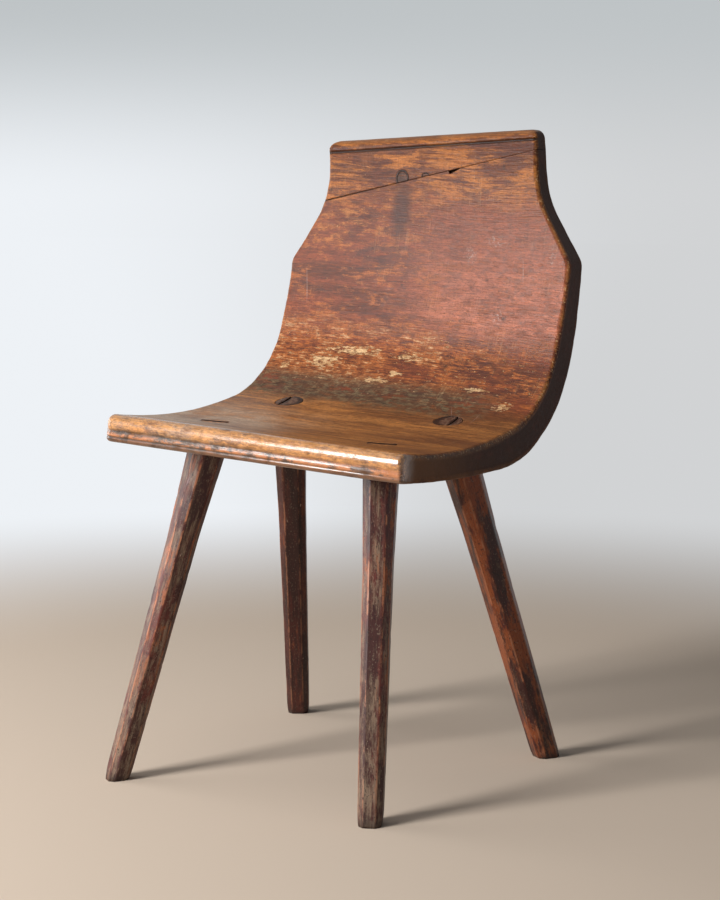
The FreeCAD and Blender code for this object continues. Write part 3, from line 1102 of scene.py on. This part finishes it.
def board_paint(name):
    """Paint for a board: its grain runs across it and sways a little."""
    wood = Wood(bpy.data.materials.new(name))
    wood.place = wood.read("board_place", "Vector")
    wood.across = wood.part(wood.place, "X")
    wood.run = wood.part(wood.place, "Y")
    wood.depth = wood.part(wood.place, "Z")
    sway = wood.noise(wood.place, (5, 8, 8), 2, 2) * grain_sway
    grain = wood.value("CombineXYZ", wood.across, wood.run + sway, wood.depth)
    wood.add_patterns(grain, grain_patterns)
    wood.add_patterns(wood.place, place_patterns)
    return wood


def back_colour(wood):
    """Mahogany brown, warmer at the upper left, rosy and calm on the right with a painted sheen low down,
    painted shade on the upper back, golden above.
    """
    left_warm = wood.across.step(*warm_left) * wood.run.step(*upper_back)
    patchy = wood.ragged + wood.streak * 0.25 + wood.blotch * 0.5 + left_warm * 0.05
    gilded = left_warm * (wood.ragged + wood.mottle * 0.5).step(0.78, 0.86)
    calm = (wood.across + wood.blotch * 0.2).step(*calm_right)
    calm = calm * wood.run.step(*calm_from) * wood.run.step(*calm_to)
    # The calm zone's rosy, lighter lower down as a painted sheen
    smooth = wood.mix(wood.run.step(*painted_sheen_low), rosy, painted_sheen_rosy)
    smooth = smooth.layered((chestnut, (wood.band + wood.streak).step(1.00, 1.14) * 0.5))
    crest = wood.mix((wood.streak + wood.blotch).step(0.88, 1.10), crest_brown, crest_gold)
    crest = crest.layered((plum, wood.smear.step(0.51, 0.55) * 0.75))
    return wood.mix(wood.band.step(0.42, 0.60), mahogany, chestnut).layered(
        (orange, patchy.step(0.86, 0.98) * 0.8),
        (golden, gilded * 0.6),
        (plum, (wood.smear + wood.streak * 0.2).step(0.64, 0.69) * 0.75),
        (wood.mix(wood.ragged.step(0.44, 0.60), smooth, chestnut), calm * 0.75),
        # Painted shade: mahogany laid over the upper back
        (mahogany, wood.run.step(*painted_shade_upper) * 0.35),
        (crest, (wood.run + wood.blotch * 0.10).step(*golden_crest) * 0.8),
    )


def seat_colour(wood):
    """Ochre and golden, pale worn wood lightened further by a painted sheen at the left, darker at the
    right, bright on the nosing.
    """
    pale = wood.across.step(*bleached_sheen_left) * wood.run.step(*bleached_sheen_seat)
    return wood.mix(wood.band.step(0.38, 0.60) * 0.9, ochre, golden).layered(
        (umber, wood.streak.step(0.50, 0.60) * 0.55),
        # Pale worn wood on the seat's left, lightened further as a painted sheen
        (bleached_and_sheen, pale * (wood.blotch + wood.ragged).step(0.80, 1.15) * 0.85),
        (umber, wood.across.step(*dark_right) * 0.25),
        (gilt_colour, wood.run.step(*gilt_nose) * wood.ragged.step(0.40, 0.54) * 0.85),
    )


def with_wear(wood, colour):
    """Streaks of bared orange wood low on the back, then dirt and flakes in the bend."""
    low_back = wood.run.step(*bared_from) * wood.run.step(*bared_to)
    rubbed = wood.short_streak + wood.mottle * 0.35 + wood.blotch * 0.50
    rubbed = rubbed + wood.across.step(*bared_left) * 0.13
    dirt_band = wood.run.step(*dirty_from) * wood.run.step(*dirty_to) * wood.across.step(*dirty_left)
    wood.dirt = dirt_band * (wood.blotch + wood.mottle * 0.6 + wood.ragged * 0.6).step(0.96, 1.12)
    zone = wood.most(*(wood.patch(wood.place, *patch, 0.95) for patch in flaked_patches))
    wood.flakes = (wood.flake + zone * 0.21 + low_back * 0.06).step(0.69, 0.71)
    return colour.layered(
        (bared_red, low_back * 0.35),
        (orange, low_back * rubbed.step(0.99, 1.08) * 0.8),
        (cream, low_back * rubbed.step(1.14, 1.20) * 0.75),
        (grime, wood.dirt * 0.8),
        (moss, dirt_band * wood.mottle.step(0.48, 0.58) * 0.6),
        (soot, dirt_band * wood.ragged.step(0.56, 0.64) * 0.75),
        (cream, dirt_band * (wood.flake + wood.run * 1.6).step(1.11, 1.17) * 0.7),
        (wood.mix(wood.mottle.step(0.2, 0.6), golden, cream), wood.flakes * 0.95),
    )


def with_marks(wood, colour):
    """An old stain, dark spots, scuffs and pale strokes."""
    scuffs = wood.most(*(wood.patch(wood.place, *patch, 1.0) for patch in scuffed_patches))
    strokes = wood.most(*(wood.line(wood.place, *stroke) for stroke in pale_strokes))
    marks = wood.most(strokes * wood.fibre.step(0.30, 0.50), scuffs * wood.scuff.step(0.50, 0.60))
    return colour.layered(
        (stained, wood.patch(wood.place, *stain, 0.7) * wood.mottle.step(0.15, 0.42) * 0.9),
        *((umber, wood.patch(wood.place, *spot, 0.9) * 0.8) for spot in dark_spots),
        (chalk, marks * 0.5),
    )


def with_knots(wood, colour, relief):
    """Two knots, each a dark ring with a standing core."""
    for centre, size in knots:
        ring = wood.patch(wood.place, centre, size, 0.12)
        core_size = (size[0] * knot_core_shares[0], size[1] * knot_core_shares[1])
        core = wood.patch(wood.place, centre, core_size, 0.15)
        heart = wood.mix(wood.mottle.step(0.4, 0.7), end_grain, knot_brown)
        colour = colour.layered((soot, ring), (heart, core))
        relief = relief + ring * -1.2 + core
    return colour, relief


def with_grain(wood, colour):
    """Fine lines of the grain, scratches across it, pores and specks."""
    scratched = wood.blotch.step(0.46, 0.62)
    return colour.layered(
        (umber, wood.mottle.step(0.58, 0.38) * 0.35),
        (umber, wood.pores.step(0.50, 0.62) * 0.45),
        (umber, wood.hair.step(0.52, 0.60) * wood.mottle.step(0.40, 0.60) * 0.45),
        (orange, wood.hair.step(0.46, 0.38) * 0.15),
        (umber, scratched * wood.scrape.step(0.54, 0.64) * 0.22),
        (cream, scratched * wood.scrape.step(0.42, 0.34) * 0.10),
        (umber, wood.fibre.step(0.54, 0.66) * 0.30),
        (umber, wood.speck.step(0.63, 0.70) * 0.65),
    )


def with_edges(wood, colour):
    """The front edge, the rear and side faces, the rim, and dirt in the mouldings."""
    front = wood.run.step(*front_edge)
    bared = wood.mix((wood.ragged + wood.mottle * 0.5).step(0.70, 0.78), umber, orange)
    rim = wood.read("rim")
    rub = rim * (wood.mottle + wood.blotch).step(0.94, 1.08) * wood.run.step(*rubbed_rim)
    ends = wood.mix(wood.ends.step(0.5, 0.75), side_dark, stained)
    ends = ends.layered((side_brown, wood.run.step(*brown_side) * 0.75))
    return colour.layered(
        (bared, front * wood.depth.step(*lower_edge) * 0.75),
        (umber, front * wood.flake.step(0.60, 0.66) * 0.6),
        (wood.mix(wood.band.step(0.3, 0.7), umber, dull_back), wood.rear_face * 0.8),
        (umber, rim * 0.35),
        (golden, rub * 0.4),
        (cream, rim * wood.flake.step(0.57, 0.62) * 0.8),
        (ends, wood.side_face * 0.95),
        (ochre, wood.read("top_face") * 0.6),
        (soot, wood.read("cavity") * wood.mottle.step(0.20, 0.42) * 0.95),
    )


def board_wood(name, upper):
    """Old waxed board: mahogany brown back, ochre seat, flaked and dirty in the bend."""
    wood = board_paint(name)
    wood.rear_face = wood.read("rear_face")
    wood.side_face = wood.read("side_face")
    seat_share = (wood.run + wood.blotch * 0.06).step(*seat_zone)
    colour = back_colour(wood).layered((seat_colour(wood), seat_share))
    colour = with_marks(wood, with_wear(wood, colour))
    relief = wood.streak * 0.5 + wood.hair * 0.45 + wood.scrape * 0.25
    relief = relief + wood.flakes * -0.5 + wood.mottle * 0.35
    if upper:
        colour, relief = with_knots(wood, colour, relief)
    colour = with_edges(wood, with_grain(wood, colour))
    polish = wood.run.step(*polished_nose)
    roughness = 0.27 + wood.mottle * 0.17 + wood.dirt * 0.2 + wood.flakes * 0.25
    roughness = roughness + wood.side_face * 0.25 + wood.rear_face * 0.18 + polish * -0.10
    gloss = polish * wood.mottle.step(0.30, 0.52)
    return wood.finish(colour, roughness, relief, board_relief,
                       specular=0.18, coat=gloss, coat_roughness=0.19)


def tenon_colour(wood):
    """A tenon's end in the seat, with dirt along the wedge and round its rim."""
    place = wood.read("tenon_place", "Vector")
    weathered = wood.mix(wood.rings.step(0.42, 0.58), end_grain, tenon_brown)
    waxed = wood.mix(wood.rings.step(0.38, 0.62), ochre, golden)
    slit = wood.patch(place, (0, 0), (tenon_reach, slit_half), 0.5)
    top = weathered.layered((waxed, wood.read("flush")), (soot, slit * 0.9))
    return wood.mix(wood.patch(place, (0, 0), (tenon_reach, tenon_reach), 0.22), soot, top)


def leg_wood():
    """Shaved dark legs: remains of wine red paint, bare grain, warm arrises, grey feet, and painted shade,
    darkest on the rear legs.
    """
    wood = Wood(bpy.data.materials.new("leg_wood"))
    place = wood.read("leg_place", "Vector")
    wood.add_patterns(place, leg_patterns)
    reach = wood.part(place, "Z")
    shade = wood.read("shade")
    arris = wood.read("arris")
    flat = 1.0 - arris
    film = wood.mix(wood.streak.step(0.40, 0.60), leg_brown, leg_olive)
    filmed = (wood.ragged + wood.band * 0.5).step(0.67, 0.82)
    warm = wood.band + wood.ragged * 0.6 + wood.read("warmth") * 0.15
    rub = arris.step(0.45, 0.95) * (wood.ragged + wood.band * 0.4).step(0.66, 0.76)
    foot = reach.step(*grey_foot) * shade.step(0.4, 0.0)
    nick = wood.nick.step(0.70, 0.72)
    colour = wood.mix(wood.band.step(0.42, 0.60), leg_wine, leg_red).layered(
        (film, filmed * flat * shade.step(0.5, 0.0) * 0.75),
        (leg_orange, warm.step(0.88, 0.98) * 0.75),
        (leg_rubbed, rub * 0.8),
        (silver, wood.pale.step(0.60, 0.67) * flat * 0.35),
        (foot_grey, foot * (wood.ragged + wood.streak * 0.5).step(0.66, 0.90) * 0.6),
        (soot, reach.step(*dark_sole) * 0.6),
        # Painted shade: soot laid over each leg by its shade value
        (soot, shade),
        (leg_nick, nick * 0.75),
        (soot, wood.speck.step(0.62, 0.68) * 0.7),
        (soot, wood.fibre.step(0.52, 0.62) * 0.35),
        (tenon_colour(wood), wood.read("tenon")),
    )
    relief = wood.streak * 0.5 + wood.fibre * 0.3 + wood.chatter * 0.30 + wood.ragged * 0.4 + nick * -0.8
    roughness = 0.28 + wood.ragged * 0.22 + foot * 0.18
    return wood.finish(colour, roughness, relief, leg_relief, specular=0.28, coat=0.08, coat_roughness=0.25)


def plain_wood(name, dark, light):
    """A simple streaked wood for small pieces."""
    paint = Paint(bpy.data.materials.new(name))
    place = paint.value("TexCoord", output="Object")
    grain = paint.noise(place, (300, 300, 40), 4, 7, 0.6)
    fine = paint.noise(place, (900, 900, 120), 3, 13, 0.6)
    colour = paint.mix(grain.step(0.35, 0.68), dark, light).layered((umber, fine.step(0.5, 0.7) * 0.5))
    return paint.finish(colour, 0.55 + grain * 0.2, fine, small_relief, specular=0.15)


# The camera: place, tilt down, turn about the vertical, lens and sensor in millimetres
camera_place = (1.4188, -2.0296, 0.7070)
camera_tilt = math.radians(7.02)
camera_turn = math.radians(34.4)
camera_lens = 80
camera_sensor = 36

# Backdrop colours: low on the camera's left, low on its right, and higher up
backdrop_left = (0.855, 0.885, 0.920)
backdrop_right = (0.640, 0.650, 0.660)
backdrop_above = (0.520, 0.550, 0.565)
backdrop_width_share = 0.18
backdrop_height_share = 0.10

# The floor's half length, its colour, and how far out it turns into the backdrop
floor_reach = 30
floor_colour = (0.64, 0.52, 0.41)
floor_fade = (0.8, 2.2)
floor_roughness = 0.9

# The soft light: what comes from all round, and lamps with place, width, height and
# power, all aimed at the middle of the chair
ambient_colour = (0.80, 0.86, 0.95)
ambient_strength = 0.10
lamps = {
    "front_lamp": ((-1.25, -2.75, 1.65), 0.9, 1.6, 132),
    "left_lamp": ((-2.6, -0.9, 0.9), 1.8, 1.6, 32),
    "top_lamp": ((-0.6, -0.9, 3.0), 2.0, 2.0, 14),
}
lamp_target = Vector((0, 0, 0.45))


def camera():
    """The camera, as it stood for the photograph."""
    data = bpy.data.cameras.new("camera")
    data.lens = camera_lens
    data.sensor_width = camera_sensor
    seen = linked("camera", data)
    seen.location = camera_place
    seen.rotation_euler = (math.pi / 2 - camera_tilt, 0, camera_turn)
    bpy.context.scene.camera = seen


def backdrop_colour(paint, way):
    """Pale backdrop, brightest low on the camera's left. way is a unit vector."""
    right = (math.cos(camera_turn), math.sin(camera_turn), 0)
    turned_right = paint.value("VectorMath", way, right, operation="DOT_PRODUCT", output="Value")
    low = paint.mix(turned_right.step(-backdrop_width_share, backdrop_width_share),
                    backdrop_left, backdrop_right)
    return low.layered((backdrop_above, paint.part(way, "Z").step(0, backdrop_height_share)))


def showing_rays(paint):
    """1 for the rays that show the backdrop: straight from the camera, glossy or through glass."""
    rays = paint.node("LightPath")
    kinds = ("Is Camera Ray", "Is Glossy Ray", "Is Transmission Ray")
    return paint.most(*(rays.outputs[kind] for kind in kinds))


def show_backdrop(paint, share, plain, shown, end):
    """Join two shaders to the end node: plain, and the shown backdrop by its share."""
    join = paint.value("MixShader", share, plain.outputs[0], shown.outputs[0])
    paint.put(join, paint.tree.nodes[end].inputs["Surface"])


def surroundings():
    """Light from all round, and the backdrop above the floor."""
    world = bpy.data.worlds.new("backdrop")
    bpy.context.scene.world = world
    paint = Paint(world)
    plain = paint.tree.nodes["Background"]
    paint.put(ambient_colour, plain.inputs["Color"])
    paint.put(ambient_strength, plain.inputs["Strength"])
    way = paint.value("TexCoord", output="Generated")
    shown = paint.node("Background", backdrop_colour(paint, way))
    show_backdrop(paint, showing_rays(paint), plain, shown, "World Output")


def floor():
    """A seamless pale floor that keeps shadows and turns into the backdrop far out."""
    corners = np.array(((-1, -1, 0), (1, -1, 0), (1, 1, 0), (-1, 1, 0))) * floor_reach
    piece = mesh_object("floor", corners, [(0, 1, 2, 3)])
    paint = Paint(bpy.data.materials.new("floor"))
    place = paint.value("TexCoord", output="Object")
    far = paint.length(place).step(*floor_fade)
    paint.put(floor_colour, paint.shader.inputs["Base Color"])
    paint.put(floor_roughness, paint.shader.inputs["Roughness"])
    way = paint.value("VectorMath", place, operation="NORMALIZE")
    glow = paint.node("Emission", backdrop_colour(paint, way))
    show_backdrop(paint, far * showing_rays(paint), paint.shader, glow, "Material Output")
    piece.data.materials.append(paint.owner)


def light():
    """Large soft lamps, the main one from the front left."""
    for name, (place, width, height, energy) in lamps.items():
        data = bpy.data.lights.new(name, "AREA")
        data.shape = "RECTANGLE"
        data.size = width
        data.size_y = height
        data.energy = energy
        lamp = linked(name, data)
        lamp.location = place
        lamp.rotation_euler = (lamp_target - lamp.location).to_track_quat("-Z", "Y").to_euler()


def add(piece, material, node):
    """Finish a piece: its material, the body and slot that it has, and the node it shows."""
    piece.data.materials.clear()
    piece.data.materials.append(material)
    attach(piece, "root")
    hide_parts(node)


def build():
    """Every visible piece of the chair."""
    board = board_piece("seat_and_back_board_visual", False)
    cut(board, [mortise_cutter(name, place) for name, place in legs.items()])
    board.data.shade_smooth()
    describe_board(board)
    add(board, board_wood("board_wood", False), "seat_and_back_board")
    crest = board_piece("crest_board_visual", True)
    describe_board(crest)
    add(crest, board_wood("crest_wood", True), "crest_board")

    legs_material = leg_wood()
    wedge_material = plain_wood("wedge_wood", soot, umber)
    dowel_material = plain_wood("dowel_wood", dowel_dark, dowel_light)
    for name, place in legs.items():
        add(leg_piece(name, place), legs_material, name + "_leg")
        wedge = wedge_block(name + "_wedge_visual", name, 0, -wedges[name][2])
        add(wedge, wedge_material, name + "_wedge")
    for side in ("left", "right"):
        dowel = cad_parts["crest_dowel_" + side]
        dowel.data.materials.clear()
        dowel.data.materials.append(dowel_material)


camera()
surroundings()
floor()
light()
bpy.context.scene.view_settings.view_transform = "Standard"
build()
